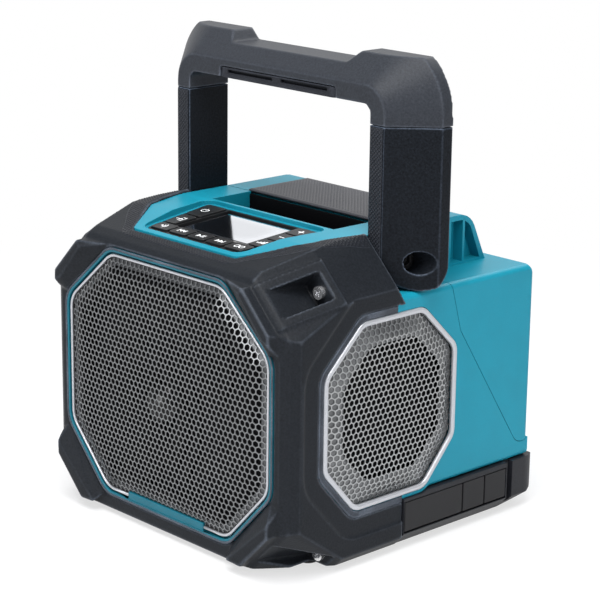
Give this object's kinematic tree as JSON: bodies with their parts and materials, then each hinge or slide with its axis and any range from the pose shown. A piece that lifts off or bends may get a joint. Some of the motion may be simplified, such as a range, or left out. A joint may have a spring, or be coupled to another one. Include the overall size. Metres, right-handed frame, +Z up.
{
  "type": "jobsite bluetooth speaker",
  "caption": "Rugged boxy portable speaker with a moulded bumper, eight-sided perforated grilles on the front and sides, a sloping key panel, a phone slot and a folding carry handle",
  "frame": {"origin": "on the floor, under the middle of the speaker's box", "axes": "+X is the speaker's right as seen from the front, +Y runs to its back, +Z is up; the front grille faces -Y"},
  "size_m": [0.242, 0.237, 0.308],
  "materials": {
    "shell": "fine texture",
    "bumper": "fine texture",
    "handle": "fine texture",
    "grip": "matte",
    "rubber": "matte",
    "pad": "fine texture",
    "silver": "satin silver",
    "mesh": "satin grey",
    "chrome": "polished",
    "steel": "satin",
    "brass": "satin",
    "black": "matte",
    "cone": "satin",
    "keys": "matte",
    "lens": "glossy",
    "screen": "matte",
    "board": "satin"
  },
  "bodies": {
    "cabinet": {"main_housing": "shell", "base_tray": "bumper", "feet": "rubber", "front_bumper": "bumper", "bumper_screws": "chrome", "front_trim": "shell", "front_ring": "silver", "front_grille": "mesh", "front_baffle": "black", "woofer_frame": "steel", "woofer_magnet": "steel", "woofer_surround": "rubber", "tweeter": "black", "side_ring_left": "silver", "side_ring_right": "silver", "side_grille_left": "mesh", "side_grille_right": "mesh", "radiator_frame_left": "black", "radiator_frame_right": "black", "control_panel": "shell", "phone_tray": "black", "key_mat": "keys", "display_lens": "lens", "display_module": "screen", "key_board": "board", "main_board": "board", "battery_terminal": "black", "battery_pack": "black", "hinge_pins": "chrome", "pivot_bolts": "steel", "aux_socket": "chrome", "usb_socket": "chrome", "dc_socket": "black"},
    "handle": {"handle_bar": "handle", "handle_leg_left": "handle", "handle_leg_right": "handle", "handle_grip": "grip", "pivot_bushes": "brass"},
    "cover": {"rear_cover": "shell", "top_pad": "pad"},
    "latch": {"cover_latch": "black"},
    "woofer": {"woofer_cone": "cone", "dust_cap": "cone"},
    "radiator_left": {"radiator_cone_left": "cone"},
    "radiator_right": {"radiator_cone_right": "cone"},
    "front_flap": {"flap_front": "rubber"},
    "middle_flap": {"flap_middle": "rubber"},
    "rear_flap": {"flap_rear": "rubber"},
    "key_power_body": {"key_power": "keys"},
    "key_source_body": {"key_source": "keys"},
    "key_pair_body": {"key_pair": "keys"},
    "key_previous_body": {"key_previous": "keys"},
    "key_play_body": {"key_play": "keys"},
    "key_next_body": {"key_next": "keys"},
    "key_link_body": {"key_link": "keys"},
    "key_bass_body": {"key_bass": "keys"},
    "key_minus_body": {"key_minus": "keys"},
    "key_plus_body": {"key_plus": "keys"}
  },
  "joints": [
    {"name": "handle_pivot", "type": "hinge", "parent": "cabinet", "child": "handle", "pos_m": [0, -0.002, 0.184], "axis": [-1, 0, 0], "range_deg": [0, 90]},
    {"name": "cover_hinge", "type": "hinge", "parent": "cabinet", "child": "cover", "pos_m": [0, 0.101, 0.056], "axis": [-1, 0, 0], "range_deg": [0, 80]},
    {"name": "latch_push", "type": "slide", "parent": "cover", "child": "latch", "axis": [0, 1, 0], "range_m": [0, 0.0025], "stiffness_N_per_m": 600, "springref_m": -0.001},
    {"name": "woofer_stroke", "type": "slide", "parent": "cabinet", "child": "woofer", "axis": [0, -1, 0], "range_m": [-0.0025, 0.0025], "stiffness_N_per_m": 1500},
    {"name": "radiator_left_stroke", "type": "slide", "parent": "cabinet", "child": "radiator_left", "axis": [-1, 0, 0], "range_m": [-0.0025, 0.0025], "stiffness_N_per_m": 900},
    {"name": "radiator_right_stroke", "type": "slide", "parent": "cabinet", "child": "radiator_right", "axis": [1, 0, 0], "range_m": [-0.0025, 0.0025], "stiffness_N_per_m": 900},
    {"name": "front_flap_hinge", "type": "hinge", "parent": "cabinet", "child": "front_flap", "pos_m": [0.1127, 0, 0.0127], "axis": [0, 1, 0], "range_deg": [0, 100]},
    {"name": "middle_flap_hinge", "type": "hinge", "parent": "cabinet", "child": "middle_flap", "pos_m": [0.1127, 0, 0.0127], "axis": [0, 1, 0], "range_deg": [0, 100]},
    {"name": "rear_flap_hinge", "type": "hinge", "parent": "cabinet", "child": "rear_flap", "pos_m": [0.1127, 0, 0.0127], "axis": [0, 1, 0], "range_deg": [0, 100]},
    {"name": "key_power_press", "type": "slide", "parent": "cabinet", "child": "key_power_body", "axis": [0, 0.0698, -0.9976], "range_m": [0, 0.001], "stiffness_N_per_m": 400, "springref_m": -0.0006},
    {"name": "key_source_press", "type": "slide", "parent": "cabinet", "child": "key_source_body", "axis": [0, 0.0698, -0.9976], "range_m": [0, 0.001], "stiffness_N_per_m": 400, "springref_m": -0.0006},
    {"name": "key_pair_press", "type": "slide", "parent": "cabinet", "child": "key_pair_body", "axis": [0, 0.0698, -0.9976], "range_m": [0, 0.001], "stiffness_N_per_m": 400, "springref_m": -0.0006},
    {"name": "key_previous_press", "type": "slide", "parent": "cabinet", "child": "key_previous_body", "axis": [0, 0.0698, -0.9976], "range_m": [0, 0.001], "stiffness_N_per_m": 400, "springref_m": -0.0006},
    {"name": "key_play_press", "type": "slide", "parent": "cabinet", "child": "key_play_body", "axis": [0, 0.0698, -0.9976], "range_m": [0, 0.001], "stiffness_N_per_m": 400, "springref_m": -0.0006},
    {"name": "key_next_press", "type": "slide", "parent": "cabinet", "child": "key_next_body", "axis": [0, 0.0698, -0.9976], "range_m": [0, 0.001], "stiffness_N_per_m": 400, "springref_m": -0.0006},
    {"name": "key_link_press", "type": "slide", "parent": "cabinet", "child": "key_link_body", "axis": [0, 0.0698, -0.9976], "range_m": [0, 0.001], "stiffness_N_per_m": 400, "springref_m": -0.0006},
    {"name": "key_bass_press", "type": "slide", "parent": "cabinet", "child": "key_bass_body", "axis": [0, 0.0698, -0.9976], "range_m": [0, 0.001], "stiffness_N_per_m": 400, "springref_m": -0.0006},
    {"name": "key_minus_press", "type": "slide", "parent": "cabinet", "child": "key_minus_body", "axis": [0, 0.0698, -0.9976], "range_m": [0, 0.001], "stiffness_N_per_m": 400, "springref_m": -0.0006},
    {"name": "key_plus_press", "type": "slide", "parent": "cabinet", "child": "key_plus_body", "axis": [0, 0.0698, -0.9976], "range_m": [0, 0.001], "stiffness_N_per_m": 400, "springref_m": -0.0006}
  ]
}
